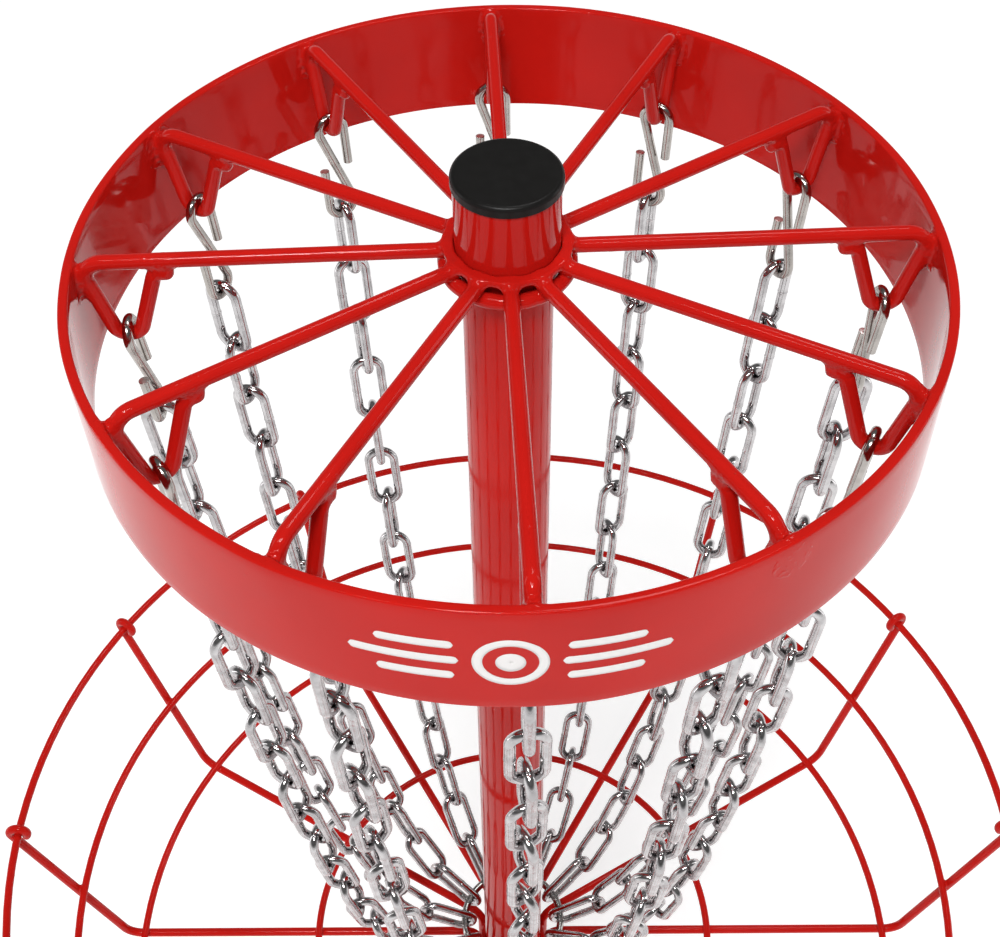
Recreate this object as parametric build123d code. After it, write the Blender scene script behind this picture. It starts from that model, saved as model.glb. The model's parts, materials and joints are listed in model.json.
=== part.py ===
from build123d import *
import math
import os

# Disc golf basket: a hoop band on twelve rod arms carries twelve loose chains above a wire tray.
# Millimetres, +Z up. The origin is on the ground, under the pole's axis.

# ---- Driving dimensions ------------------------------------------------------------------

GAP = 0.1               # room between two pieces that are welded or pushed together
LOOSE = 0.3             # room between two pieces that move on each other

BAND_TOP = 1427.0       # height of the band's top edge above the ground
BAND_D = 445.0
BAND_HEIGHT = 70.0
BAND_WALL = 5.0
BAND_EDGE = 1.2

SECTORS = 12            # arms, chains and tray wires
HEAD_TURN = 2.5         # degrees that the arms and chains stand round from the tray's wires

ARM_D = 8.0
ARM_CORNER_R = 10.0
ARM_CORNER_OUT = 2.0    # how far the arm's unrounded corner lies beyond the rounded rod
EYE_OUTER_R = 203.5     # the V that holds the hook: foot of its outer leg,
EYE_INNER_R = 191.5     # foot of its inner leg,
EYE_DEPTH = 49.0        # depth of its bottom below the band's top edge,
EYE_BEND_R = 7.4        # bend at its bottom,
EYE_BACK_R = 178.0      # where the inner leg meets the arm,
EYE_BACK_BEND_R = 5.0   # bend there,
EYE_TAIL_R = 172.0      # and the end of the tail under the arm

POLE_D = 47.6
POLE_WALL = 2.0
POLE_TOP = 24.0         # above the band's top edge
SLIP_BORE = 48.4        # bore of everything that slides on the pole

SLEEVE_D = 54.0
SLEEVE_TOP = 42.0       # above the band's top edge
SLEEVE_FOOT = 19.0      # below it
FLANGE_D = 66.0
FLANGE_THICK = 2.0
HEAD_HOOP_R = 31.7

CAP_D = 56.0
CAP_RIM = 6.0
CAP_EDGE = 2.4
CAP_PLUG = 14.0
CAP_WALL = 2.5

HOOK_D = 5.6
HOOK_HEIGHT = 75.0      # over both bends
HOOK_WIDTH = 22.0
HOOK_TAIL = 26.0        # straight end beyond each bend
HOOK_LEAN = 5.0         # degrees inward

LINK_D = 6.2
LINK_WIDTH = 24.5
LINK_PITCH = 43.2
LINKS = 16
LINK_TWIST = 6.0        # degrees that each link turns beyond a right angle from the one before
UPPER_LINKS = 8         # links in the upper half of a chain

RING_R = 41.0
RING_D = 6.0
RING_DROP = 764.0       # below the band's top edge
RING_CONTACT = 30.0     # degrees that the last link slopes down to the ring

TRAY_WIRE_D = 7.0
TRAY_RING_D = 6.0
RIM_R = 389.0
RIM_DROP = 607.0        # below the band's top edge
FLOOR_DROP = 788.0
KINK_R = 333.0          # where the wires turn up from the floor into the wall
KINK_BEND_R = 16.0
MID_RING_DROP = 702.0
FLOOR_RING_R = 319.0
INNER_RING_R = 168.0
RIM_HOOK_TURN = 235.0   # degrees that each wire's end wraps round the rim
WIRE_ROOT_BEND_R = 12.0
WIRE_ROOT_LENGTH = 55.0

COLLAR_D = 55.0
COLLAR_TOP = 12.0       # below the tray's floor
COLLAR_LENGTH = 98.0

BOLT_D = 8.0
BOLT_HEAD = 5.3
HEX_FLATS = 13.0
NUT_THICK = 6.5
HEAD_BOLT_RISE = 20.0   # above the band's top edge
TRAY_BOLT_DROP = 88.0   # below the tray's floor
BASE_BOLT_HEIGHT = 160.0

LEGS = 6
LEG_D = 12.0
LEG_BEND_R = 30.0
LEG_TOP = 132.0
LEG_KNEE = 58.0
BASE_RING_R = 250.0
LEG_OVERHANG = 6.0
FOOT_D = 30.0
FOOT_HEIGHT = 16.0
BASE_PLATE_D = 100.0
BASE_PLATE_THICK = 6.0
SOCKET_TOP = 182.0

# ---- Sizes that follow from them -------------------------------------------------------

FLOOR = BAND_TOP - FLOOR_DROP
ARM_Z = BAND_TOP        # the arms' axes lie level with the band's top edge
UNDER_ARM_Z = ARM_Z - ARM_D - GAP
BAND_INSIDE_R = BAND_D / 2 - BAND_WALL
ARM_CORNER_AT = BAND_INSIDE_R - ARM_D / 2 - GAP + ARM_CORNER_OUT
EYE_Z = BAND_TOP - EYE_DEPTH
RING_Z = BAND_TOP - RING_DROP
BASE_PLATE_TOP = FOOT_HEIGHT
HOOK_BEND_R = (HOOK_WIDTH - HOOK_D) / 2
HOOK_SPAN = HOOK_HEIGHT - HOOK_D
LINK_CROWN_R = (LINK_WIDTH - LINK_D) / 2
LINK_STRAIGHT = LINK_PITCH + LOOSE + LINK_D - 2 * LINK_CROWN_R
RIM_WRAP_R = (TRAY_WIRE_D + TRAY_RING_D) / 2 + GAP


# ---- Helpers -----------------------------------------------------------------------------

def tube(outer_d, inner_d, low, high):
    """An upright tube on the pole's axis."""
    height = high - low
    wall = Cylinder(outer_d / 2, height) - Cylinder(inner_d / 2, height + 1)
    return Pos(0, 0, (low + high) / 2) * wall


def hoop(radius, wire_d, z):
    """A level ring of round wire about the pole."""
    return Pos(0, 0, z) * Torus(radius, wire_d / 2)


def bent_rod(outline, diameter):
    """Round rod along an outline drawn as (radius, height) in the plane of azimuth 0."""
    path = Plane.XZ * outline
    section = Plane(origin=path @ 0, z_dir=path % 0) * Circle(diameter / 2)
    return sweep(section, path=path)


def around(piece, count, turn=0.0):
    """Equal copies about the pole, as separate solids."""
    copies = [Rot(0, 0, turn + 360 / count * i) * piece for i in range(count)]
    return Compound(children=[copy.solid() for copy in copies])


def save(name, shape):
    """Write one sub-part's STEP file."""
    export_step(shape, "parts/" + name + ".step")


# ---- Head: band, arms, hub and cap --------------------------------------------------------

def band():
    """The rolled flat bar that deflects high throws."""
    ring = tube(BAND_D, 2 * BAND_INSIDE_R, BAND_TOP - BAND_HEIGHT, BAND_TOP)
    return fillet(ring.edges(), BAND_EDGE)


def arm():
    """One rod: out from the hub, down inside the band, round the V and back under itself."""
    outline = FilletPolyline(
        (SLEEVE_D / 2 + GAP, ARM_Z),
        (ARM_CORNER_AT, ARM_Z),
        (EYE_OUTER_R, EYE_Z),
        (EYE_INNER_R, EYE_Z),
        (EYE_BACK_R, UNDER_ARM_Z),
        (EYE_TAIL_R, UNDER_ARM_Z),
        radius=[ARM_CORNER_R, EYE_BEND_R, EYE_BEND_R, EYE_BACK_BEND_R],
    )
    return bent_rod(outline, ARM_D)


def bolt_hole(radius, z):
    """Hole for a set bolt through a wall of the given outer radius, on the rear side."""
    return Pos(0, radius, z) * Rot(90, 0, 0) * Cylinder(BOLT_D / 2 + GAP, radius / 2)


def head_sleeve():
    """The tube that slips over the pole's top and carries the arms."""
    wall = tube(SLEEVE_D, SLIP_BORE, BAND_TOP - SLEEVE_FOOT, BAND_TOP + SLEEVE_TOP)
    return wall - bolt_hole(SLEEVE_D / 2, BAND_TOP + HEAD_BOLT_RISE)


def head_flange():
    """The washer on top of the arms' inner ends."""
    low = ARM_Z + ARM_D / 2 + GAP
    return tube(FLANGE_D, SLEEVE_D + 2 * GAP, low, low + FLANGE_THICK)


def pole_cap():
    """The plastic plug in the sleeve's top: a rounded rim over a hollow skirt."""
    seat = BAND_TOP + SLEEVE_TOP + GAP
    rim = Cylinder(CAP_D / 2, CAP_RIM, align=(Align.CENTER, Align.CENTER, Align.MIN))
    rim = fillet(rim.edges().group_by(Axis.Z)[-1], CAP_EDGE)
    plug_d = SLIP_BORE - 2 * LOOSE
    skirt = tube(plug_d, plug_d - 2 * CAP_WALL, -CAP_PLUG, 0)
    return Pos(0, 0, seat) * (rim + skirt)


# ---- Pole, collars and fasteners ------------------------------------------------------------

def pole():
    """One round tube from the base plate up into the head."""
    return tube(POLE_D, POLE_D - 2 * POLE_WALL, BASE_PLATE_TOP + BASE_PLATE_THICK + GAP, BAND_TOP + POLE_TOP)


def tray_collar():
    """The tray's hub, which slides on the pole and is locked by its set bolt."""
    top = FLOOR - COLLAR_TOP
    wall = tube(COLLAR_D, SLIP_BORE, top - COLLAR_LENGTH, top)
    return wall - bolt_hole(COLLAR_D / 2, FLOOR - TRAY_BOLT_DROP)


def base_socket():
    """The tube on the base that the pole stands in."""
    wall = tube(COLLAR_D, SLIP_BORE, BASE_PLATE_TOP + BASE_PLATE_THICK + GAP, SOCKET_TOP)
    return wall - bolt_hole(COLLAR_D / 2, BASE_BOLT_HEIGHT)


def hexagon(thickness):
    """A hexagonal block standing on +Z."""
    return extrude(RegularPolygon(HEX_FLATS / 2, 6, major_radius=False), thickness)


def on_wall(piece, radius, z):
    """Turn a piece's +Z outward, towards the rear, at a wall's surface."""
    return Pos(0, radius, z) * Rot(-90, 0, 0) * piece


def weld_nut(wall_r, z):
    """Nut welded over a bolt hole."""
    bore = Cylinder(BOLT_D / 2 + GAP, 3 * NUT_THICK)
    return on_wall(hexagon(NUT_THICK) - bore, wall_r + GAP, z)


def set_bolt(wall_r, z):
    """Bolt through a weld nut, its end against the pole."""
    head_r = wall_r + NUT_THICK + 2 * GAP + LOOSE
    reach = head_r - POLE_D / 2 - GAP
    shank = Pos(0, 0, -reach / 2) * Cylinder(BOLT_D / 2, reach)
    return on_wall(hexagon(BOLT_HEAD) + shank, head_r, z)


BOLT_PLACES = [
    (SLEEVE_D / 2, BAND_TOP + HEAD_BOLT_RISE),
    (COLLAR_D / 2, FLOOR - TRAY_BOLT_DROP),
    (COLLAR_D / 2, BASE_BOLT_HEIGHT),
]


# ---- Tray ------------------------------------------------------------------------------------

def wall_angle():
    """Angle above level of the tray's wall, from the kink to the rim's outer side."""
    run = RIM_R - KINK_R
    rise = FLOOR_DROP - RIM_DROP
    return math.atan2(rise, run) - math.asin(RIM_WRAP_R / math.hypot(run, rise))


def tray_wire():
    """One wire: up the collar, out along the floor, up the wall and over the rim."""
    angle = wall_angle()
    rim_z = BAND_TOP - RIM_DROP
    touch = (RIM_R + RIM_WRAP_R * math.sin(angle), rim_z - RIM_WRAP_R * math.cos(angle))
    root_r = (COLLAR_D + TRAY_WIRE_D) / 2 + GAP
    run = FilletPolyline(
        (root_r, FLOOR - WIRE_ROOT_LENGTH),
        (root_r, FLOOR),
        (KINK_R, FLOOR),
        touch,
        radius=[WIRE_ROOT_BEND_R, KINK_BEND_R],
    )
    wrap = CenterArc((RIM_R, rim_z), RIM_WRAP_R, math.degrees(angle) - 90, RIM_HOOK_TURN)
    return bent_rod(run + wrap, TRAY_WIRE_D)


def mid_ring():
    """The ring half way up the wall, on the inside of the wires."""
    angle = wall_angle()
    rise = FLOOR_DROP - MID_RING_DROP
    wall_r = KINK_R + rise / math.tan(angle)
    return hoop(wall_r - RIM_WRAP_R / math.sin(angle), TRAY_RING_D, BAND_TOP - MID_RING_DROP)


# ---- Base ------------------------------------------------------------------------------------

def base_leg():
    """One rod: down the socket, then out and over the base ring."""
    root_r = (COLLAR_D + LEG_D) / 2 + GAP
    outline = FilletPolyline(
        (root_r, LEG_TOP),
        (root_r, LEG_KNEE),
        (BASE_RING_R + LEG_OVERHANG, FOOT_HEIGHT + LEG_D + GAP),
        radius=LEG_BEND_R,
    )
    return bent_rod(outline, LEG_D)


def foot():
    """A rubber pad with a groove that the base ring lies in."""
    pad = Pos(BASE_RING_R, 0, 0) * Cylinder(
        FOOT_D / 2, FOOT_HEIGHT, align=(Align.CENTER, Align.CENTER, Align.MIN)
    )
    return pad - hoop(BASE_RING_R, LEG_D + 2 * GAP, FOOT_HEIGHT)


def base_plate():
    """The disc that closes the socket and that the pole stands on."""
    plate = Cylinder(BASE_PLATE_D / 2, BASE_PLATE_THICK, align=(Align.CENTER, Align.CENTER, Align.MIN))
    return Pos(0, 0, BASE_PLATE_TOP) * fillet(plate.edges(), BAND_EDGE)


# ---- Chains -----------------------------------------------------------------------------------

def hook_pivot():
    """(radius, height) of the hook's upper bend where it rides in the V."""
    eye_r = (EYE_OUTER_R + EYE_INNER_R) / 2
    return eye_r, EYE_Z + ARM_D / 2 + LOOSE + HOOK_D / 2


def chain_top():
    """(radius, height) of the contact between the hook's lower bend and the first link."""
    pivot_r, pivot_z = hook_pivot()
    reach = HOOK_SPAN - HOOK_D / 2
    lean = math.radians(HOOK_LEAN)
    return pivot_r - reach * math.sin(lean), pivot_z - reach * math.cos(lean)


def chain_foot():
    """(radius, height) of the contact between the last link and the chain ring."""
    slope = math.radians(RING_CONTACT)
    reach = (RING_D + LOOSE) / 2
    return RING_R - reach * math.cos(slope), RING_Z - reach * math.sin(slope)


def chain_contacts():
    """Points between the links, on the curve of a hanging chain of the links' total length."""
    top_r, top_z = chain_top()
    foot_r, foot_z = chain_foot()
    width, height, length = top_r - foot_r, top_z - foot_z, LINKS * LINK_PITCH
    wanted = math.sqrt(length**2 - height**2) / width
    low, high = 0.01, 10.0
    while high - low > 1e-9:
        half = (low + high) / 2
        if math.sinh(half) / half < wanted:
            low = half
        else:
            high = half
    scale = width / (2 * half)
    start = math.atanh(height / length) - half
    contacts = []
    for i in range(LINKS, -1, -1):
        turn = math.asinh(math.sinh(start) + i * LINK_PITCH / scale)
        contacts.append((
            foot_r + scale * (turn - start),
            foot_z + scale * (math.cosh(turn) - math.cosh(start)),
        ))
    return contacts


def link():
    """One straight-sided link, long along X and flat in XY."""
    centreline = SlotCenterToCenter(LINK_STRAIGHT, 2 * LINK_CROWN_R).wire()
    section = Plane(origin=centreline @ 0, z_dir=centreline % 0) * Circle(LINK_D / 2)
    return sweep(section, path=centreline)


def links_between(first, last, hand):
    """Links first to last of the chain at azimuth 0. hand is which way the chain is twisted."""
    contacts = chain_contacts()
    one = link()
    placed = []
    for i in range(first, last):
        high = Vector(contacts[i][0], 0, contacts[i][1])
        low = Vector(contacts[i + 1][0], 0, contacts[i + 1][1])
        along = (low - high).normalized()
        flat = Vector(0, 1, 0).rotate(Axis((0, 0, 0), along), hand * i * (90 + LINK_TWIST))
        placed.append(Plane(origin=(high + low) / 2, x_dir=along, z_dir=flat) * one)
    return placed


def hook():
    """The S hook at azimuth 0: its bends face round the band."""
    spread = HOOK_SPAN - 2 * HOOK_BEND_R
    lean = math.degrees(math.asin(2 * HOOK_BEND_R / spread))
    upper = (0, -HOOK_BEND_R)
    lower = (0, HOOK_BEND_R - HOOK_SPAN)
    upper_tail = Line((-HOOK_BEND_R, upper[1] - HOOK_TAIL), (-HOOK_BEND_R, upper[1]))
    upper_bend = CenterArc(upper, HOOK_BEND_R, 180, -180 - lean)
    lower_bend = CenterArc(lower, HOOK_BEND_R, 180 - lean, 180 + lean)
    shank = Line(upper_bend @ 1, lower_bend @ 0)
    lower_tail = Line((HOOK_BEND_R, lower[1]), (HOOK_BEND_R, lower[1] + HOOK_TAIL))
    path = upper_tail + upper_bend + shank + lower_bend + lower_tail
    section = Plane(origin=path @ 0, z_dir=path % 0) * Circle(HOOK_D / 2)
    flat = sweep(section, path=path)
    pivot_r, pivot_z = hook_pivot()
    upright = Rot(0, 0, 90) * Rot(90, 0, 0) * flat
    return Pos(pivot_r, 0, pivot_z) * Rot(0, HOOK_LEAN, 0) * upright


# ---- Write the sub-parts -----------------------------------------------------------------------

def write_frame():
    """Everything that stands still."""
    save("deflector_band", band())
    save("chain_arms", around(arm(), SECTORS, HEAD_TURN))
    save("head_sleeve", head_sleeve())
    save("head_flange", head_flange())
    save("head_hoop", hoop(HEAD_HOOP_R, ARM_D, UNDER_ARM_Z))
    save("pole_cap", pole_cap())
    save("pole", pole())
    save("tray_collar", tray_collar())
    save("tray_wires", around(tray_wire(), SECTORS))
    save("tray_rim", hoop(RIM_R, TRAY_RING_D, BAND_TOP - RIM_DROP))
    save("tray_mid_ring", mid_ring())
    on_floor = FLOOR + RIM_WRAP_R
    save("tray_floor_ring", hoop(FLOOR_RING_R, TRAY_RING_D, on_floor))
    save("tray_inner_ring", hoop(INNER_RING_R, TRAY_RING_D, on_floor))
    save("set_bolts", Compound(children=[set_bolt(*place).solid() for place in BOLT_PLACES]))
    save("weld_nuts", Compound(children=[weld_nut(*place).solid() for place in BOLT_PLACES]))
    save("base_socket", base_socket())
    save("base_plate", base_plate())
    save("base_legs", around(base_leg(), LEGS))
    save("base_ring", hoop(BASE_RING_R, LEG_D, FOOT_HEIGHT))
    save("base_feet", around(foot(), LEGS))


def write_chains():
    """The ring that gathers the chains, and each chain in two halves with its hook."""
    save("chain_ring", hoop(RING_R, RING_D, RING_Z))
    one_hook = hook()
    for hand in (1, -1):
        upper = links_between(0, UPPER_LINKS, hand)
        lower = links_between(UPPER_LINKS, LINKS, hand)
        for i in range(0 if hand == 1 else 1, SECTORS, 2):
            turn = Rot(0, 0, HEAD_TURN + 360 / SECTORS * i)
            number = f"{i + 1:02d}"
            save("s_hook_" + number, turn * one_hook)
            save("chain_upper_" + number, Compound(children=[(turn * one).solid() for one in upper]))
            save("chain_lower_" + number, Compound(children=[(turn * one).solid() for one in lower]))


os.makedirs("parts", exist_ok=True)
write_frame()
write_chains()
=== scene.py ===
import itertools
import json
import math

import bmesh
import bpy
import numpy as np
from mathutils import Matrix, Vector, noise

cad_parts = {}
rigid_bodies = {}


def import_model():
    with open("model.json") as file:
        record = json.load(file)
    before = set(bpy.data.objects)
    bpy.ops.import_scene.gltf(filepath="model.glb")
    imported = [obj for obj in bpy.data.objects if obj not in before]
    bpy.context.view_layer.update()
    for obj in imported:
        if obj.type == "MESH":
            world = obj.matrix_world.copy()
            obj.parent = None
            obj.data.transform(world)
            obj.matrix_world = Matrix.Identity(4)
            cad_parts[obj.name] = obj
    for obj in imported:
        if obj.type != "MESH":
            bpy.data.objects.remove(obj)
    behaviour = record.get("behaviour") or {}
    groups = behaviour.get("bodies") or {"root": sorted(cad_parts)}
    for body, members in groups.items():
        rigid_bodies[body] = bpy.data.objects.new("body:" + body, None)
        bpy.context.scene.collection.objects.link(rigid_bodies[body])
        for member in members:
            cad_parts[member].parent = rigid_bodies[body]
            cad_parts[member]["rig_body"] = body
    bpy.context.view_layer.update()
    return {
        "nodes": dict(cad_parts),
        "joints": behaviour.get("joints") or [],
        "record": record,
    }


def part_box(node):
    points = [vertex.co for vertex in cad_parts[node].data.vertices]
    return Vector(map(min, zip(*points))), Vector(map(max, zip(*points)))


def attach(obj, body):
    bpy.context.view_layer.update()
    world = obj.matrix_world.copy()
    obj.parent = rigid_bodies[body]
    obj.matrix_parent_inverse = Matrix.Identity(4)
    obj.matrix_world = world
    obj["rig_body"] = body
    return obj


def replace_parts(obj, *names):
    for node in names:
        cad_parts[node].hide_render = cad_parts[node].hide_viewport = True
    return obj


# Disc golf basket: finishes for the CAD nodes, and the welds, seams and cut ends that CAD leaves out.
# Metres, +Z up, as in the frame. "Local" points lie in the plane of azimuth 0 and are turned about the
# pole, which stands on the origin.

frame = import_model()
NODES = frame["nodes"]
JOINTS = {joint["name"]: joint for joint in frame["joints"]}


def level(node, end):
    """Height of a node's lowest (0) or highest (1) point."""
    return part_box(node)[end].z


def reach(node):
    """Radius of a round node, from its box."""
    low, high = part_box(node)
    return (high.x - low.x) / 2


# ---- Sizes ---------------------------------------------------------------------------------

MM = 0.001
SECTORS = 12
HEAD_TURN = math.radians(2.5)
BAND_TOP = level("deflector_band", 1)
BAND_FOOT = level("deflector_band", 0)
BAND_R = reach("deflector_band")
BAND_WALL = 5 * MM
BAND_EDGE = 1.2 * MM
ARM_D = 8 * MM
ARM_Z = BAND_TOP
ARM_UNDER_Z = ARM_Z - ARM_D - 0.1 * MM
ARM_CORNER_AT = BAND_R - BAND_WALL - ARM_D / 2 + 1.9 * MM
ARM_CORNER_R = 10 * MM
EYE_OUTER_R = 203.5 * MM
EYE_INNER_R = 191.5 * MM
EYE_Z = BAND_TOP - 49 * MM
EYE_BACK_R = 178 * MM
EYE_BACK_BEND_R = 5 * MM
EYE_TAIL_R = 172 * MM
SLEEVE_R = 27 * MM
POLE_R = reach("pole")
WIRE_D = 7 * MM
RING_D = 6 * MM
FLOOR = level("tray_floor_ring", 0) - WIRE_D / 2
RIM_R = reach("tray_rim") - RING_D / 2
RIM_Z = level("tray_rim", 1) - RING_D / 2
KINK_R = 333 * MM
COLLAR_R = reach("tray_collar")
LEGS = 6
LEG_D = 12 * MM
FOOT_R = reach("base_ring") - LEG_D / 2
FOOT_TOP = level("base_feet", 1)
FOOT_PAD_R = 15 * MM
HEX_FLATS = 13 * MM
NUT_THICK = 6.5 * MM
BOLT_HEAD = 5.3 * MM
BOLT_D = 8 * MM
SOCKET_R = reach("base_socket")
SLEEVE_BOLT_Z = BAND_TOP + 20 * MM
COLLAR_BOLT_Z = FLOOR - 88 * MM
SOCKET_BOLT_Z = 160 * MM
LINK_D = 6.2 * MM
HOOK_D = 5.6 * MM
HOOK_BEND_R = 8.2 * MM
HOOK_SPAN = 69.4 * MM
HOOK_TAIL = 26 * MM
HOOK_LEAN = math.radians(5)
HAIR = 0.06 * MM        # how far a weld's rods stay inside the CAD rods

# The mark on the band, in millimetres: radii of the ring's and the dot's rows of points, and one side's
# bars as (height, start, end).
DECAL_RING = (16.5, 15, 13.5, 12)
DECAL_DOT = (6.5, 4, 2, 0.05)
DECAL_BARS = ((11, 24, 58), (0, 22, 70), (-11, 24, 58))
BAR_HALF = 2.6
DECAL_LIFT = 0.12 * MM
DECAL_THICK = 0.1 * MM


# ---- Mesh tools ----------------------------------------------------------------------------

def turned(points, angle):
    """Points turned about the pole."""
    c, s = math.cos(angle), math.sin(angle)
    matrix = np.array([[c, -s, 0], [s, c, 0], [0, 0, 1]])
    return np.asarray(points, float) @ matrix.T


def joined(parts):
    """One (points, faces) from several."""
    points, faces, start = [], [], 0
    for part_points, part_faces in parts:
        points.append(part_points)
        faces.extend([tuple(i + start for i in face) for face in part_faces])
        start += len(part_points)
    return np.concatenate(points), faces


def around(part, count, turn=0.0):
    """Equal copies of a mesh about the pole."""
    points, faces = part
    step = 2 * math.pi / count
    return joined([(turned(points, turn + step * i), faces) for i in range(count)])


def piece(name, part, material, body, sharp=None):
    """A Blender object from (points, faces), riding on a body."""
    points, faces = part
    mesh = bpy.data.meshes.new(name)
    mesh.from_pydata([tuple(p) for p in points], [], faces)
    mesh.materials.append(material)
    mesh.shade_smooth()
    if sharp is not None:
        mesh.set_sharp_from_angle(angle=math.radians(sharp))
    mesh.update()
    item = bpy.data.objects.new(name, mesh)
    bpy.context.scene.collection.objects.link(item)
    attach(item, body)
    return item


def lathe(profile, segments, shift=None):
    """A closed (radius, height) profile turned about the pole. shift moves the points in or out."""
    angles = np.arange(segments) * 2 * math.pi / segments
    rings = np.array([[(r * math.cos(a), r * math.sin(a), z) for r, z in profile] for a in angles])
    points = rings.reshape(-1, 3)
    if shift:
        radius = np.hypot(points[:, 0], points[:, 1])
        points[:, :2] *= ((radius + shift(points)) / radius)[:, None]
    n = len(profile)
    faces = []
    for i in range(segments):
        for j in range(n):
            here, there = i * n, (i + 1) % segments * n
            faces.append((here + j, there + j, there + (j + 1) % n, here + (j + 1) % n))
    return points, faces


def lumps(points, size, height, seed):
    """Smooth random height at each point, from a noise whose lumps have the given size."""
    offset = Vector((seed * 7.3, seed * 3.1, seed * 5.7))
    return height * np.array([noise.noise(Vector(p) / size + offset) for p in points])


def rounded(points, radius):
    """Local (radius, height) points with every corner turned into an arc."""
    points = [np.array(p, float) for p in points]
    path = [points[0]]
    for a, b, c in zip(points, points[1:], points[2:]):
        u, v = (a - b) / np.linalg.norm(a - b), (c - b) / np.linalg.norm(c - b)
        half = math.acos(u @ v) / 2
        middle = b + (u + v) / np.linalg.norm(u + v) * radius / math.sin(half)
        start, end = b + u * radius / math.tan(half) - middle, b + v * radius / math.tan(half) - middle
        sweep = math.pi - 2 * half
        for i in range(7):
            t = i / 6 * sweep
            path.append(middle + (start * math.sin(sweep - t) + end * math.sin(t)) / math.sin(sweep))
    return path + [points[-1]]


# Distance fields: negative inside. A welded joint is the blend of the fields of what it joins.

def rod(a, b, radius):
    """Round rod from a to b."""
    a, b = np.array(a, float), np.array(b, float)
    run = b - a

    def field(p):
        t = np.clip((p - a) @ run / (run @ run), 0, 1)
        return np.linalg.norm(p - a - t[:, None] * run, axis=1) - radius
    return field


def bent(points, radius):
    """Round rod along local (radius, height) points."""
    runs = [rod((a[0], 0, a[1]), (b[0], 0, b[1]), radius) for a, b in zip(points, points[1:])]
    return lambda p: np.min([run(p) for run in runs], axis=0)


def torus(ring_r, z, radius):
    """Level ring of round wire about the pole."""
    def field(p):
        out = np.hypot(p[:, 0], p[:, 1]) - ring_r
        return np.hypot(out, p[:, 2] - z) - radius
    return field


def wall(inner_r, outer_r, low, high, edge=0.0):
    """Tube or washer about the pole, with rounded edges."""
    middle, half = (inner_r + outer_r) / 2, (outer_r - inner_r) / 2 - edge
    height, rise = (low + high) / 2, (high - low) / 2 - edge

    def field(p):
        dx = abs(np.hypot(p[:, 0], p[:, 1]) - middle) - half
        dz = abs(p[:, 2] - height) - rise
        outside = np.hypot(np.maximum(dx, 0), np.maximum(dz, 0))
        return outside + np.minimum(np.maximum(dx, dz), 0) - edge
    return field


def ball(centre, radius):
    """Sphere."""
    return lambda p: np.linalg.norm(p - np.array(centre), axis=1) - radius


def blend(fields, width):
    """Union whose inner corners are filled like a weld."""
    def field(p):
        total = fields[0](p)
        for other in fields[1:]:
            near = other(p)
            share = np.maximum(width - abs(total - near), 0) / width
            total = np.minimum(total, near) - share * share * width / 4
        return total
    return field


def moved(field, by):
    """A field moved by an offset."""
    return lambda p: field(p - np.array(by))


def within(field, limit):
    """The part of a field inside another."""
    return lambda p: np.maximum(field(p), limit(p))


def skin(field, low, high, cell):
    """Mesh of a field's surface inside a box, by surface nets."""
    low, high = np.array(low, float), np.array(high, float)
    count = np.ceil((high - low) / cell).astype(int) + 1
    axes = [low[i] + cell * np.arange(count[i]) for i in range(3)]
    grid = np.stack(np.meshgrid(*axes, indexing="ij"), -1)
    value = field(grid.reshape(-1, 3)).reshape(count)
    corner = {}
    for c in itertools.product((0, 1), repeat=3):
        corner[c] = value[tuple(slice(k, n - 1 + k) for k, n in zip(c, count))]
    total = np.zeros(tuple(count - 1) + (3,))
    hits = np.zeros(tuple(count - 1))
    for a, b in itertools.combinations(corner, 2):
        if sum(abs(i - j) for i, j in zip(a, b)) != 1:
            continue
        crossed = (corner[a] < 0) != (corner[b] < 0)
        share = np.where(crossed, corner[a] / np.where(crossed, corner[a] - corner[b], 1), 0)
        step = np.array(a) + share[..., None] * (np.array(b) - np.array(a))
        total += np.where(crossed[..., None], step, 0)
        hits += crossed
    mixed = hits > 0
    index = np.full(mixed.shape, -1)
    index[mixed] = np.arange(mixed.sum())
    place = np.argwhere(mixed) + total[mixed] / hits[mixed][:, None]
    points = low + cell * place
    faces = []
    for axis in range(3):
        u, v = (axis + 1) % 3, (axis + 2) % 3
        first = np.take(value, range(count[axis] - 1), axis) < 0
        second = np.take(value, range(1, count[axis]), axis) < 0
        for spot in np.argwhere(first != second):
            if not (0 < spot[u] < count[u] - 1 and 0 < spot[v] < count[v] - 1):
                continue
            quad = []
            for du, dv in ((-1, -1), (0, -1), (0, 0), (-1, 0)):
                cell_index = spot.copy()
                cell_index[u] += du
                cell_index[v] += dv
                quad.append(int(index[tuple(cell_index)]))
            faces.append(tuple(quad if first[tuple(spot)] else quad[::-1]))
    return settle(points, field, cell), faces


def settle(points, field, cell):
    """Points moved onto the field's true surface."""
    tiny = cell / 50
    for _ in range(3):
        here = field(points)
        slope = np.stack([(field(points + tiny * np.eye(3)[i]) - here) / tiny for i in range(3)], -1)
        size = np.maximum((slope**2).sum(1), 0.25)
        points = points - np.clip(here / size, -cell / 2, cell / 2)[:, None] * slope
    return points


def weld(parts, centre, radius, width, cell, height=0.12 * MM, seed=1):
    """Filled corner where parts meet, inside a ball. The parts' own fields are a hair too small."""
    fused = blend(parts, width)
    rough = lambda p: fused(p) + lumps(p, 2.2 * MM, height, seed)
    low = [c - radius - 2 * cell for c in centre]
    high = [c + radius + 2 * cell for c in centre]
    return skin(within(rough, ball(centre, radius)), low, high, cell)


# ---- Materials -----------------------------------------------------------------------------

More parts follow.
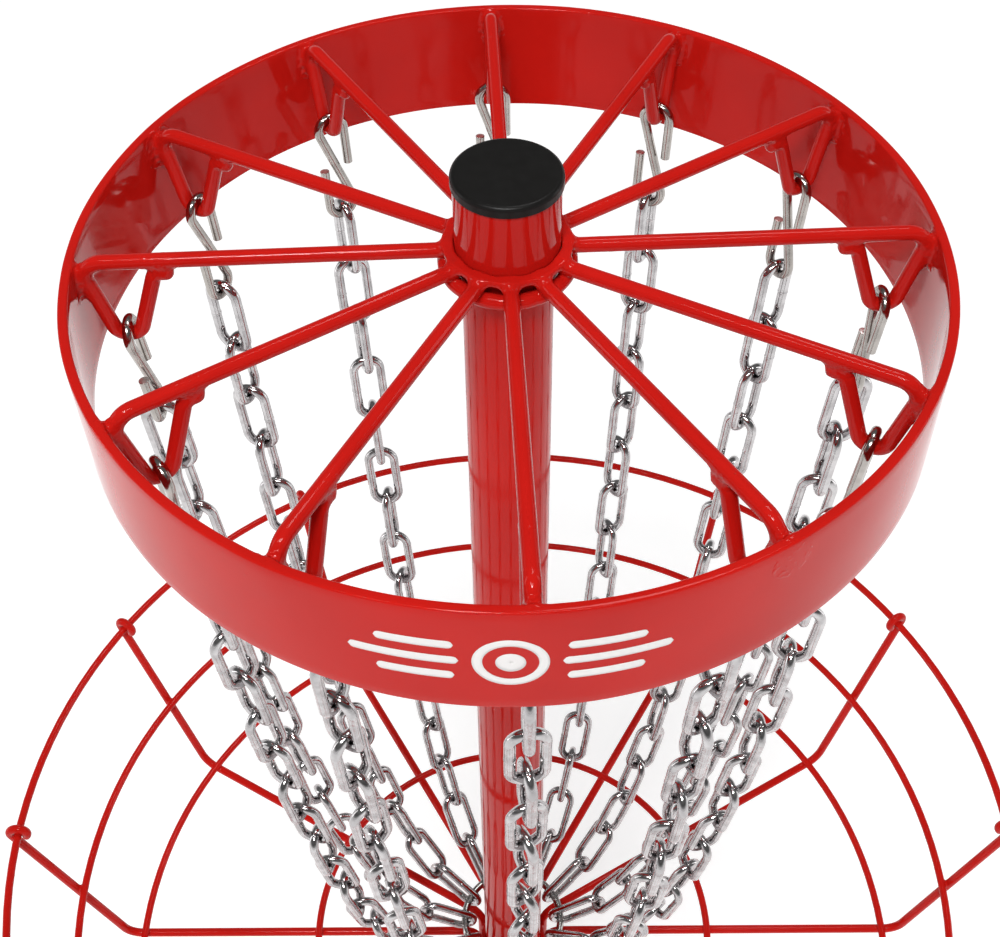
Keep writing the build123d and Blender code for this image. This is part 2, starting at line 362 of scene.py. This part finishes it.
class Finish:
    """A node material with short ways to wire what these finishes share."""

    def __init__(self, name, colour, roughness, metallic=0.0):
        self.material = bpy.data.materials.new(name)
        self.material.use_nodes = True
        self.tree = self.material.node_tree
        self.shader = self.tree.nodes["Principled BSDF"]
        self.shader.inputs["Base Color"].default_value = (*colour, 1)
        self.shader.inputs["Roughness"].default_value = roughness
        self.shader.inputs["Metallic"].default_value = metallic
        self.place = self.tree.nodes.new("ShaderNodeTexCoord").outputs["Object"]

    def noise(self, scale, detail=2.0, roughness=0.5):
        """Noise with scale lumps to the metre."""
        node = self.tree.nodes.new("ShaderNodeTexNoise")
        node.inputs["Scale"].default_value = scale
        node.inputs["Detail"].default_value = detail
        node.inputs["Roughness"].default_value = roughness
        self.tree.links.new(self.place, node.inputs["Vector"])
        return node.outputs["Fac"]

    def between(self, source, low, high, start=0.3, end=0.7):
        """A number from low to high as the source goes from start to end."""
        node = self.tree.nodes.new("ShaderNodeMapRange")
        for name, value in (("From Min", start), ("From Max", end), ("To Min", low), ("To Max", high)):
            node.inputs[name].default_value = value
        self.tree.links.new(source, node.inputs["Value"])
        return node.outputs["Result"]

    def colours(self, source, stops):
        """A colour ramp: stops are (place, colour)."""
        node = self.tree.nodes.new("ShaderNodeValToRGB")
        ramp = node.color_ramp
        while len(ramp.elements) < len(stops):
            ramp.elements.new(0.5)
        for element, (place, colour) in zip(ramp.elements, stops):
            element.position = place
            element.color = (*colour, 1)
        self.tree.links.new(source, node.inputs["Fac"])
        return node.outputs["Color"]

    def feed(self, socket, source):
        """Wire a source to one of the shader's sockets."""
        self.tree.links.new(source, self.shader.inputs[socket])

    def bump(self, layers):
        """Bumps one on another: layers are (height source, depth in metres)."""
        normal = None
        for source, depth in layers:
            node = self.tree.nodes.new("ShaderNodeBump")
            node.inputs["Strength"].default_value = 1.0
            node.inputs["Distance"].default_value = depth
            self.tree.links.new(source, node.inputs["Height"])
            if normal:
                self.tree.links.new(normal, node.inputs["Normal"])
            normal = node.outputs["Normal"]
        self.feed("Normal", normal)

    def set(self, **values):
        """Constants on the shader's sockets."""
        for name, value in values.items():
            self.shader.inputs[name.replace("_", " ")].default_value = value


def powder_coat():
    """Glossy red powder coat: slight orange peel, thicker and thinner patches."""
    finish = Finish("red_powder_coat_look", (0.50, 0.009, 0.006), 0.06)
    finish.set(IOR=1.5, Specular_IOR_Level=0.11)
    patches = finish.noise(14, 3)
    red = finish.colours(patches, [(0.3, (0.47, 0.0085, 0.0055)), (0.7, (0.53, 0.0105, 0.0070))])
    finish.feed("Base Color", red)
    finish.feed("Roughness", finish.between(finish.noise(60, 3), 0.035, 0.10))
    finish.bump([(finish.noise(300, 1), 0.000012), (finish.noise(1300, 1), 0.0000015)])
    return finish.material


def zinc(name, colour, dark, low_rough, high_rough):
    """Plated steel: bright with duller, darker patches and fine drawing marks."""
    finish = Finish(name, colour, low_rough, 1.0)
    patches = finish.noise(130, 3, 0.5)
    finish.feed("Base Color", finish.colours(patches, [(0.34, dark), (0.64, colour)]))
    finish.feed("Roughness", finish.between(finish.noise(380, 3), low_rough, high_rough))
    finish.bump([(finish.noise(800, 2), 0.000015), (finish.noise(240, 1), 0.00006)])
    return finish.material


def black_plastic():
    """Moulded plastic with a fine satin grain."""
    finish = Finish("black_plastic_look", (0.008, 0.0076, 0.0072), 0.36)
    finish.set(Specular_IOR_Level=0.14)
    finish.feed("Roughness", finish.between(finish.noise(220, 3), 0.28, 0.42))
    finish.bump([(finish.noise(2600, 2), 0.00002)])
    return finish.material


def black_rubber():
    """Matt rubber with a dusty bloom."""
    finish = Finish("black_rubber_look", (0.02, 0.02, 0.02), 0.8)
    bloom = finish.noise(90, 4, 0.6)
    greys = [(0.35, (0.012, 0.012, 0.012)), (0.75, (0.045, 0.043, 0.04))]
    finish.feed("Base Color", finish.colours(bloom, greys))
    finish.bump([(finish.noise(1800, 2), 0.00004)])
    return finish.material


def white_vinyl():
    """Plain white decal."""
    finish = Finish("white_vinyl_look", (0.78, 0.76, 0.75), 0.35)
    finish.feed("Roughness", finish.between(finish.noise(150, 2), 0.28, 0.42))
    finish.bump([(finish.noise(500, 1), 0.00002)])
    return finish.material


RED = powder_coat()
CHAIN = zinc("zinc_chain_look", (0.58, 0.565, 0.57), (0.40, 0.385, 0.39), 0.05, 0.12)
HOOK = zinc("hook_steel_look", (0.46, 0.43, 0.405), (0.36, 0.335, 0.315), 0.10, 0.20)
RING = zinc("ring_steel_look", (0.42, 0.41, 0.40), (0.30, 0.29, 0.28), 0.14, 0.24)
BOLT = zinc("zinc_bolt_look", (0.62, 0.63, 0.60), (0.46, 0.46, 0.42), 0.24, 0.38)
CUT = zinc("cut_steel_look", (0.80, 0.79, 0.77), (0.60, 0.59, 0.57), 0.34, 0.50)
PLASTIC = black_plastic()
RUBBER = black_rubber()
VINYL = white_vinyl()

SLOT_LOOKS = {
    "red_powder_coat": RED,
    "zinc_chain": CHAIN,
    "hook_steel": HOOK,
    "ring_steel": RING,
    "zinc_bolt": BOLT,
    "black_plastic": PLASTIC,
    "black_rubber": RUBBER,
}


def dress_nodes():
    """Give every CAD node the finish of its record slot."""
    for row in frame["record"]["subparts"]:
        item = NODES[row["node"]]
        item.data.materials.clear()
        item.data.materials.append(SLOT_LOOKS[row["material_slot"]])


# ---- Head ----------------------------------------------------------------------------------

def wander(points):
    """How far the band's faces stray in or out: long waves, and a dimple at every arm's weld."""
    angle = np.arctan2(points[:, 1], points[:, 0]) - HEAD_TURN
    step = 2 * math.pi / SECTORS
    off = (angle + step / 2) % step - step / 2
    depth = points[:, 2] - (BAND_TOP - 12 * MM)
    dimple = np.exp(-(off * BAND_R / (9 * MM))**2 - (depth / (12 * MM))**2)
    return lumps(points, 70 * MM, 0.5 * MM, 3) + 0.2 * MM * dimple


def band():
    """Rolled flat bar: rounded edges, and faces that wander a little and dimple at the welds."""
    inner, outer, low, high = BAND_R - BAND_WALL, BAND_R, BAND_FOOT, BAND_TOP
    profile = []
    corners = [(outer, low, -90), (outer, high, 0), (inner, high, 90), (inner, low, 180)]
    for r, z, start in corners:
        centre_r = r + (-BAND_EDGE if r == outer else BAND_EDGE)
        centre_z = z + (BAND_EDGE if z == low else -BAND_EDGE)
        for i in range(5):
            a = math.radians(start + 90 * i / 4)
            profile.append((centre_r + BAND_EDGE * math.cos(a), centre_z + BAND_EDGE * math.sin(a)))
        if r == outer and z == low or r == inner and z == high:
            side = 1 if z == low else -1
            for i in range(1, 12):
                profile.append((r, z + side * (BAND_EDGE + (high - low - 2 * BAND_EDGE) * i / 12)))

    item = piece("band_look", lathe(profile, 480, wander), RED, "root", 40)
    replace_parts(item, "deflector_band")


def hub():
    """Washer, hoop and arm roots, run together by welds and paint."""
    arms = []
    for i in range(SECTORS):
        a = HEAD_TURN + 2 * math.pi / SECTORS * i
        ends = [(r * math.cos(a), r * math.sin(a), ARM_Z) for r in (SLEEVE_R - 1 * MM, 62 * MM)]
        arms.append(rod(*ends, ARM_D / 2 - HAIR))
    spokes = lambda p: np.min([arm(p) for arm in arms], axis=0)
    low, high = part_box("head_flange")
    washer = wall(SLEEVE_R + 0.35 * MM, high.x, ARM_Z + 2 * MM, high.z - 0.7 * MM, 0.8 * MM)
    hoop_low, hoop_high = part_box("head_hoop")
    hoop = torus(hoop_high.x - ARM_D / 2, (hoop_low.z + hoop_high.z) / 2, ARM_D / 2)
    fused = blend([blend([spokes, washer], 4.5 * MM), hoop], 2.5 * MM)
    rough = lambda p: fused(p) + lumps(p, 5 * MM, 0.2 * MM, 5)
    limit = wall(SLEEVE_R + 0.3 * MM, 56 * MM, hoop_low.z - 3 * MM, high.z + 3 * MM)
    size = 58 * MM
    box = (-size, -size, hoop_low.z - 4 * MM), (size, size, high.z + 4 * MM)
    part = skin(within(rough, limit), *box, 0.9 * MM)
    item = piece("hub_weldment", part, RED, "root")
    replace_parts(item, "head_flange", "head_hoop")


def arm_welds():
    """Fillets where each arm meets the band, and where its tail meets itself."""
    foot = (EYE_OUTER_R, EYE_Z)
    corner = (ARM_CORNER_AT, ARM_Z)
    out = rounded([(ARM_CORNER_AT - 60 * MM, ARM_Z), corner, foot], ARM_CORNER_R)
    tail_corner = (EYE_BACK_R, ARM_UNDER_Z)
    back = rounded([(EYE_INNER_R, EYE_Z), tail_corner, (EYE_TAIL_R, ARM_UNDER_Z)], EYE_BACK_BEND_R)
    wall_field = wall(BAND_R - BAND_WALL + HAIR, BAND_R - HAIR, BAND_FOOT, BAND_TOP - HAIR, BAND_EDGE)
    leg = bent(out, ARM_D / 2 - HAIR)
    touch = (BAND_R - BAND_WALL - 2 * MM, 0, ARM_Z - 12 * MM)
    at_band = weld([leg, wall_field], touch, 13 * MM, 7 * MM, 0.8 * MM, 0.3 * MM, 2)
    tail = bent(back, ARM_D / 2 - HAIR)
    above = rod((EYE_TAIL_R - 30 * MM, 0, ARM_Z), (EYE_BACK_R + 30 * MM, 0, ARM_Z), ARM_D / 2 - HAIR)
    middle = (EYE_TAIL_R + 2 * MM, 0, ARM_Z - ARM_D / 2 - 1 * MM)
    at_tail = weld([tail, above], middle, 12 * MM, 6 * MM, 0.8 * MM, 0.25 * MM, 4)
    part = around(joined([at_band, at_tail]), SECTORS, HEAD_TURN)
    piece("arm_welds", part, RED, "root")


def on_band(rows):
    """A grid mesh laid on the band's front, from rows of (distance to the right, height) points."""
    flat = np.array(rows)
    angle = flat[..., 0] / BAND_R - math.pi / 2
    middle = (BAND_TOP + BAND_FOOT) / 2
    columns = [BAND_R * np.cos(angle), BAND_R * np.sin(angle), middle + flat[..., 1]]
    points = np.stack(columns, -1).reshape(-1, 3)
    points[:, :2] *= (1 + (wander(points) + DECAL_LIFT) / BAND_R)[:, None]
    count = flat.shape[1]
    faces = []
    for i in range(flat.shape[0] - 1):
        for j in range(count - 1):
            here = i * count + j
            faces.append((here, here + 1, here + count + 1, here + count))
    return points, faces


def decal():
    """A plain ring and dot between bars."""
    turns = np.arange(49) * math.pi / 24
    circle = lambda r: [(r * MM * math.sin(t), r * MM * math.cos(t)) for t in turns]
    parts = [on_band([circle(r) for r in radii]) for radii in (DECAL_RING, DECAL_DOT)]
    for side in (-1, 1):
        for height, start, end in DECAL_BARS:
            rows = []
            for x in np.linspace(start, end, 41):
                near = min(x - start, end - x, BAR_HALF)
                rise = math.sqrt(max(BAR_HALF**2 - (BAR_HALF - near)**2, 0.02))
                rows.append([(side * x * MM, (height + rise * k / 2) * MM) for k in (-2, -1, 0, 1, 2)])
            parts.append(on_band(rows[::-1] if side > 0 else rows))
    item = piece("band_decal", joined(parts), VINYL, "root")
    film_mesh = bmesh.new()
    film_mesh.from_mesh(item.data)
    bmesh.ops.remove_doubles(film_mesh, verts=film_mesh.verts, dist=0.01 * MM)
    film_mesh.to_mesh(item.data)
    film_mesh.free()
    film = item.modifiers.new("film", "SOLIDIFY")
    film.thickness = DECAL_THICK
    film.offset = 0


# ---- Tray ----------------------------------------------------------------------------------

def wire_line():
    """A tray wire's root radius, its wall's slope, and its local end under the rim."""
    wrap = (WIRE_D + RING_D) / 2 + 0.1 * MM
    run, rise = RIM_R - KINK_R, RIM_Z - FLOOR
    angle = math.atan2(rise, run) - math.asin(wrap / math.hypot(run, rise))
    touch = (RIM_R + wrap * math.sin(angle), RIM_Z - wrap * math.cos(angle))
    root_r = COLLAR_R + WIRE_D / 2 + 0.1 * MM
    return root_r, angle, touch


def tray_welds():
    """Cross-wire welds on every ring, and the wires' roots along the collar."""
    root_r, angle, touch = wire_line()
    thin = WIRE_D / 2 - HAIR
    floor_wire = rod((root_r, 0, FLOOR), (KINK_R, 0, FLOOR), thin)
    wall_wire = rod((KINK_R, 0, FLOOR), (touch[0], 0, touch[1]), thin)
    parts = []
    for i, node in enumerate(("tray_inner_ring", "tray_floor_ring", "tray_mid_ring")):
        ring_r = reach(node) - RING_D / 2
        z = level(node, 0) + RING_D / 2
        wire = wall_wire if node == "tray_mid_ring" else floor_wire
        ring = torus(ring_r, z, RING_D / 2 - HAIR)
        lift = (WIRE_D + RING_D) / 4
        if node == "tray_mid_ring":
            centre = (ring_r + lift * math.sin(angle), 0, z - lift * math.cos(angle))
        else:
            centre = (ring_r, 0, z - lift)
        parts.append(weld([wire, ring], centre, 6.5 * MM, 3 * MM, 0.75 * MM, 0.2 * MM, 6 + i))
    piece("tray_welds", around(joined(parts), SECTORS), RED, "root")
    collar = wall(COLLAR_R - 3 * MM, COLLAR_R - HAIR, level("tray_collar", 0), level("tray_collar", 1))
    root = rod((root_r, 0, FLOOR - 55 * MM), (root_r, 0, FLOOR - 10 * MM), thin)
    fused = blend([collar, root], 3.5 * MM)
    rough = lambda p: fused(p) + lumps(p, 3 * MM, 0.25 * MM, 9)
    low = (COLLAR_R - 2 * MM, -6 * MM, FLOOR - 52 * MM)
    high = (COLLAR_R + 5 * MM, 6 * MM, FLOOR - 16 * MM)
    part = skin(within(rough, box_field(low, high)), *grown(low, high, 2 * MM), 0.9 * MM)
    piece("collar_welds", around(part, SECTORS), RED, "root")


def box_field(low, high):
    """Box between two corners."""
    centre, half = (np.array(low) + np.array(high)) / 2, (np.array(high) - np.array(low)) / 2
    return lambda p: (abs(p - centre) - half).max(1)


def grown(low, high, by):
    """Two corners moved apart."""
    return [v - by for v in low], [v + by for v in high]


# ---- Base and fasteners ----------------------------------------------------------------------

def base_welds():
    """Legs along the socket and over the ring, and the bead round the socket's foot."""
    root_r = SOCKET_R + LEG_D / 2 + 0.1 * MM
    top = level("base_legs", 1)
    socket = wall(SOCKET_R - 3 * MM, SOCKET_R - HAIR, level("base_socket", 0), level("base_socket", 1))
    leg = rod((root_r, 0, top - 50 * MM), (root_r, 0, top), LEG_D / 2 - HAIR)
    low, high = (SOCKET_R - 2 * MM, -8 * MM, top - 48 * MM), (SOCKET_R + 7 * MM, 8 * MM, top - 3 * MM)
    fused = blend([socket, leg], 5 * MM)
    rough = lambda p: fused(p) + lumps(p, 3 * MM, 0.35 * MM, 11)
    at_socket = skin(within(rough, box_field(low, high)), *grown(low, high, 2 * MM), 1.1 * MM)
    ends = (FOOT_R - 30 * MM, 0, FOOT_TOP + LEG_D + 2 * MM), (FOOT_R + 6 * MM, 0, FOOT_TOP + LEG_D)
    over = rod(*ends, LEG_D / 2 - HAIR)
    ring = torus(FOOT_R, FOOT_TOP, LEG_D / 2 - HAIR)
    at_ring = weld([over, ring], (FOOT_R, 0, FOOT_TOP + LEG_D / 2), 9 * MM, 5 * MM, 1.1 * MM, 0.3 * MM, 12)
    piece("leg_welds", around(joined([at_socket, at_ring]), LEGS), RED, "root")
    plate_top = level("base_plate", 1)
    tube = wall(SOCKET_R - 2 * MM, SOCKET_R - HAIR, plate_top, plate_top + 20 * MM)
    plate = wall(SOCKET_R - 8 * MM, SOCKET_R + 12 * MM, plate_top - 4 * MM, plate_top - HAIR)
    fused_foot = blend([tube, plate], 9 * MM)
    rippled = lambda p: fused_foot(p) + lumps(p, 4 * MM, 0.5 * MM, 13)
    limit = wall(SOCKET_R - 1 * MM, SOCKET_R + 6 * MM, plate_top - 1 * MM, plate_top + 6 * MM)
    size = SOCKET_R + 8 * MM
    box = (-size, -size, plate_top - 3 * MM), (size, size, plate_top + 8 * MM)
    piece("socket_bead", skin(within(rippled, limit), *box, 1.1 * MM), RED, "root")


def feet():
    """Rubber pads with rounded edges and a groove for the ring."""
    pad = moved(wall(-FOOT_PAD_R, FOOT_PAD_R, 0, FOOT_TOP, 1.8 * MM), (FOOT_R, 0, 0))
    groove = torus(FOOT_R, FOOT_TOP, LEG_D / 2 + 0.05 * MM)
    body = lambda p: np.maximum(pad(p), -groove(p))
    low = (FOOT_R - FOOT_PAD_R - 2 * MM, -FOOT_PAD_R - 2 * MM, -2 * MM)
    high = (FOOT_R + FOOT_PAD_R + 2 * MM, FOOT_PAD_R + 2 * MM, FOOT_TOP + 2 * MM)
    pads = around(skin(body, low, high, 1.1 * MM), LEGS)
    item = piece("feet_look", pads, RUBBER, "root", 40)
    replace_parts(item, "base_feet")


def hexagon(centre, length, chamfer_end):
    """Hexagonal block standing outward from a point on the rear side. Its far end may be chamfered."""
    def field(p):
        q = p - np.array(centre)
        sides = [abs(q[:, 0] * math.cos(a) + q[:, 2] * math.sin(a)) for a in np.radians((30, 90, 150))]
        block = np.maximum(np.max(sides, axis=0) - HEX_FLATS / 2, abs(q[:, 1] - length / 2) - length / 2)
        if chamfer_end:
            cone = (np.hypot(q[:, 0], q[:, 2]) - HEX_FLATS * 0.49) * 0.5 + (q[:, 1] - length) * 0.87
            block = np.maximum(block, cone)
        return block
    return field


def fasteners():
    """Set bolts in nuts welded to the sleeve, the collar and the socket."""
    bolts, nuts = [], []
    for wall_r, z in ((SLEEVE_R, SLEEVE_BOLT_Z), (COLLAR_R, COLLAR_BOLT_Z), (SOCKET_R, SOCKET_BOLT_Z)):
        head_y = wall_r + NUT_THICK + 0.5 * MM
        head = hexagon((0, head_y, z), BOLT_HEAD, True)
        shank = rod((0, POLE_R + 4 * MM, z), (0, head_y + 1 * MM, z), BOLT_D / 2 - 0.1 * MM)
        whole = lambda p, head=head, shank=shank: np.minimum(head(p), shank(p))
        low = (-9 * MM, POLE_R - 2 * MM, z - 9 * MM)
        high = (9 * MM, head_y + BOLT_HEAD + 2 * MM, z + 9 * MM)
        bolts.append(skin(whole, low, high, 0.55 * MM))
        nut = hexagon((0, wall_r, z), NUT_THICK, False)
        tube = wall(wall_r - 2 * MM, wall_r - HAIR, z - 30 * MM, z + 30 * MM)
        fused = blend([nut, tube], 4.5 * MM)
        hole = rod((0, 0, z), (0, 1, z), BOLT_D / 2 + 0.1 * MM)
        low = (-11 * MM, wall_r - 4 * MM, z - 11 * MM)
        high = (11 * MM, wall_r + NUT_THICK + 0.2 * MM, z + 11 * MM)
        limit = box_field(low, high)
        made = lambda p, fused=fused, hole=hole, limit=limit: np.maximum(
            np.maximum(fused(p) + lumps(p, 3 * MM, 0.2 * MM, 14), limit(p)), -hole(p))
        nuts.append(skin(made, *grown(low, high, 1.5 * MM), 0.7 * MM))
    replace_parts(piece("set_bolts_look", joined(bolts), BOLT, "root", 35), "set_bolts")
    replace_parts(piece("weld_nuts_look", joined(nuts), RED, "root", 50), "weld_nuts")


# ---- Chains --------------------------------------------------------------------------------

CUT_SIDES = 20
# A cut end's rings: (share of the hook wire's radius, millimetres past the wire's end).
CUT_RINGS = ((0.93, -0.4), (0.93, 0.08), (0.86, 0.16), (0.45, 0.2))


def solids(item):
    """The points of each separate solid in a mesh."""
    mesh = item.data
    points = np.zeros(len(mesh.vertices) * 3)
    mesh.vertices.foreach_get("co", points)
    points = points.reshape(-1, 3)
    spots, same = np.unique(points.round(6), axis=0, return_inverse=True)
    same = same.ravel()
    group = np.arange(len(spots))
    edges = np.zeros(len(mesh.edges) * 2, int)
    mesh.edges.foreach_get("vertices", edges)
    edges = same[edges.reshape(-1, 2)]
    while True:
        lowest = group.copy()
        np.minimum.at(lowest, edges[:, 0], group[edges[:, 1]])
        np.minimum.at(lowest, edges[:, 1], group[edges[:, 0]])
        lowest = lowest[lowest]
        if (lowest == group).all():
            break
        group = lowest
    return [spots[group == g] for g in np.unique(group)]


def bead(middle, along, radius, length):
    """A short swollen collar round a rod: the flash of a butt weld."""
    along = np.array(along) / np.linalg.norm(along)
    up = np.cross(along, (0.3, 0.5, 0.8))
    up /= np.linalg.norm(up)
    side = np.cross(along, up)
    sides, steps = 18, 6
    points = []
    for k in range(steps + 1):
        t = k / steps
        swell = radius * (0.97 + 0.10 * math.sin(math.pi * t)**0.6)
        for i in range(sides):
            a = 2 * math.pi * i / sides
            spoke = side * math.cos(a) + up * math.sin(a)
            points.append(middle + along * (t - 0.5) * length + spoke * swell)
    faces = []
    for k in range(steps):
        for i in range(sides):
            j = (i + 1) % sides
            faces.append((k * sides + j, k * sides + i, (k + 1) * sides + i, (k + 1) * sides + j))
    faces.append(tuple(range(sides)))
    faces.append(tuple(range(steps * sides, (steps + 1) * sides))[::-1])
    return np.array(points), faces


def link_seams():
    """The raised weld half way along one side of every link."""
    for name, item in NODES.items():
        if not name.startswith("chain_upper") and not name.startswith("chain_lower"):
            continue
        parts = []
        for i, solid in enumerate(solids(item)):
            centre = solid.mean(0)
            axes = np.linalg.eigh(np.cov((solid - centre).T))[1]
            along, across = axes[:, 2], axes[:, 1]
            width = ((solid - centre) @ across).max() - LINK_D / 2
            middle = centre + across * width * (1 if i % 2 else -1)
            parts.append(bead(middle, along, LINK_D / 2, 2.2 * MM))
        piece("seams_" + name, joined(parts), CHAIN, item["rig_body"], 50)


def ring_seams():
    """The butt welds that close the rings of round wire."""
    def seam(node, wire_d, degrees):
        a = math.radians(degrees)
        ring_r, z = reach(node) - wire_d / 2, (level(node, 0) + level(node, 1)) / 2
        middle = np.array([ring_r * math.cos(a), ring_r * math.sin(a), z])
        return bead(middle, (-math.sin(a), math.cos(a), 0), wire_d / 2, 2.6 * MM)
    places = (("tray_rim", RING_D, 75), ("tray_mid_ring", RING_D, 196), ("tray_floor_ring", RING_D, 134),
              ("tray_inner_ring", RING_D, 287), ("base_ring", LEG_D, 98))
    piece("ring_seams", joined([seam(*place) for place in places]), RED, "root", 50)
    piece("chain_ring_seam", seam("chain_ring", RING_D, 200), RING, "chain_ring", 50)


def hook_cuts():
    """Bright sheared ends of the hooks."""
    lean_out, lean_up = math.sin(HOOK_LEAN), math.cos(HOOK_LEAN)
    for i in range(SECTORS):
        number = f"{i + 1:02d}"
        a = HEAD_TURN + 2 * math.pi / SECTORS * i
        out = np.array([math.cos(a), math.sin(a), 0])
        side = np.array([-math.sin(a), math.cos(a), 0])
        up = out * lean_out + np.array([0, 0, 1]) * lean_up
        normal = np.cross(side, up)
        pivot = np.array(JOINTS[f"chain_{number}_swing"]["pos_m"])
        parts = []
        foot = HOOK_BEND_R - HOOK_SPAN + HOOK_TAIL
        for u, v, way in ((-HOOK_BEND_R, -HOOK_BEND_R - HOOK_TAIL, -1), (HOOK_BEND_R, foot, 1)):
            centre = pivot + side * u + up * v
            rings = []
            for radius, lift in CUT_RINGS:
                for s in range(CUT_SIDES):
                    b = 2 * math.pi * s / CUT_SIDES
                    around_end = side * math.cos(b) + normal * math.sin(b)
                    slope = 0.12 * math.cos(b) * radius
                    rings.append(centre + around_end * radius * HOOK_D / 2 + up * way * (lift + slope) * MM)
            faces = []
            for k in range(len(CUT_RINGS) - 1):
                for s in range(CUT_SIDES):
                    t = (s + 1) % CUT_SIDES
                    low, high = k * CUT_SIDES, (k + 1) * CUT_SIDES
                    quad = (low + s, low + t, high + t, high + s)
                    faces.append(quad if way > 0 else quad[::-1])
            last = len(rings) - CUT_SIDES
            top, bottom = tuple(range(last, last + CUT_SIDES)), tuple(range(CUT_SIDES))
            faces.append(top if way > 0 else top[::-1])
            faces.append(bottom[::-1] if way > 0 else bottom)
            parts.append((np.array(rings), faces))
        piece("hook_cuts_" + number, joined(parts), CUT, f"chain_{number}_upper", 35)


# ---- Stage ---------------------------------------------------------------------------------

FLOOR_R = 12
FLOOR_SIDES = 64


def floor():
    """Pale floor, wide enough to meet the horizon, a little brighter with distance."""
    angles = np.arange(FLOOR_SIDES) * 2 * math.pi / FLOOR_SIDES
    points = [(FLOOR_R * math.cos(a), FLOOR_R * math.sin(a), 0) for a in angles]
    mesh = bpy.data.meshes.new("floor")
    mesh.from_pydata(points, [], [tuple(range(FLOOR_SIDES))])
    finish = Finish("floor_look", (0.90, 0.90, 0.90), 0.9)
    finish.set(Emission_Color=(1, 1, 1, 1))
    distance = finish.tree.nodes.new("ShaderNodeVectorMath")
    distance.operation = "LENGTH"
    finish.tree.links.new(finish.place, distance.inputs[0])
    finish.feed("Emission Strength", finish.between(distance.outputs["Value"], 0.40, 0.76, 0.5, 6.0))
    mesh.materials.append(finish.material)
    item = bpy.data.objects.new("floor", mesh)
    bpy.context.scene.collection.objects.link(item)


def softbox(name, place, aim, size, power):
    """White rectangular area light at a place, aimed at a point."""
    light = bpy.data.lights.new(name, "AREA")
    light.shape = "RECTANGLE"
    light.size, light.size_y = size
    light.energy = power
    item = bpy.data.objects.new(name, light)
    item.location = place
    item.rotation_euler = (Vector(aim) - Vector(place)).to_track_quat("-Z", "Y").to_euler()
    bpy.context.scene.collection.objects.link(item)


def world():
    """Pale at the horizon, dim above, so that bright metal has dark streaks."""
    room = bpy.data.worlds.new("pale_room")
    bpy.context.scene.world = room
    room.use_nodes = True
    tree = room.node_tree
    coords = tree.nodes.new("ShaderNodeTexCoord")
    split = tree.nodes.new("ShaderNodeSeparateXYZ")
    spread = tree.nodes.new("ShaderNodeMapRange")
    spread.inputs["From Min"].default_value = -1
    ramp = tree.nodes.new("ShaderNodeValToRGB")
    stops = [(0.0, 0.9), (0.53, 0.9), (0.60, 0.35), (0.70, 0.12), (1.0, 0.22)]
    while len(ramp.color_ramp.elements) < len(stops):
        ramp.color_ramp.elements.new(0.5)
    for element, (place, value) in zip(ramp.color_ramp.elements, stops):
        element.position = place
        element.color = (value, value, value, 1)
    tree.links.new(coords.outputs["Generated"], split.inputs[0])
    tree.links.new(split.outputs["Z"], spread.inputs["Value"])
    tree.links.new(spread.outputs["Result"], ramp.inputs["Fac"])
    tree.links.new(ramp.outputs["Color"], tree.nodes["Background"].inputs["Color"])


def lights():
    """Soft studio light: boxes high in front and behind, a long tube overhead, a strip at each side."""
    middle = (0, 0, 1.1)
    softbox("key_box", (-0.5, -2.5, 5.2), middle, (0.8, 0.6), 100)
    softbox("rear_box", (0.8, 1.5, 5.6), middle, (1.4, 1.0), 42)
    softbox("tube", (-0.3, -1.6, 4.6), middle, (2.6, 0.30), 52)
    softbox("left_strip", (-2.6, 0.2, 1.6), middle, (0.35, 2.4), 8)
    softbox("right_strip", (2.6, 0.6, 1.8), middle, (0.35, 2.4), 8)
    world()
    bpy.context.scene.view_settings.view_transform = "Standard"
    bpy.context.scene.view_settings.look = "None"


def camera():
    """Above the front of the band, looking down into the basket."""
    data = bpy.data.cameras.new("camera")
    data.sensor_width = 36
    data.lens = 55.184
    data.shift_y = -0.0935
    data.clip_start, data.clip_end = 0.05, 60
    item = bpy.data.objects.new("camera", data)
    bpy.context.scene.collection.objects.link(item)
    pitch, yaw, roll = math.radians(45.926), math.radians(-0.459), math.radians(0.768)
    ahead = Vector((math.sin(yaw) * math.cos(pitch), math.cos(yaw) * math.cos(pitch), -math.sin(pitch)))
    right = Vector((math.cos(yaw), -math.sin(yaw), 0))
    down = ahead.cross(right)
    level_right = right * math.cos(roll) + down * math.sin(roll)
    true_down = down * math.cos(roll) - right * math.sin(roll)
    turn = Matrix((level_right, -true_down, -ahead)).transposed()
    item.matrix_world = Matrix.Translation((0, -0.5814, BAND_TOP + 0.5085)) @ turn.to_4x4()
    bpy.context.scene.camera = item


# ---- Build ---------------------------------------------------------------------------------

dress_nodes()
band()
hub()
arm_welds()
decal()
tray_welds()
base_welds()
feet()
fasteners()
link_seams()
ring_seams()
hook_cuts()
floor()
lights()
camera()
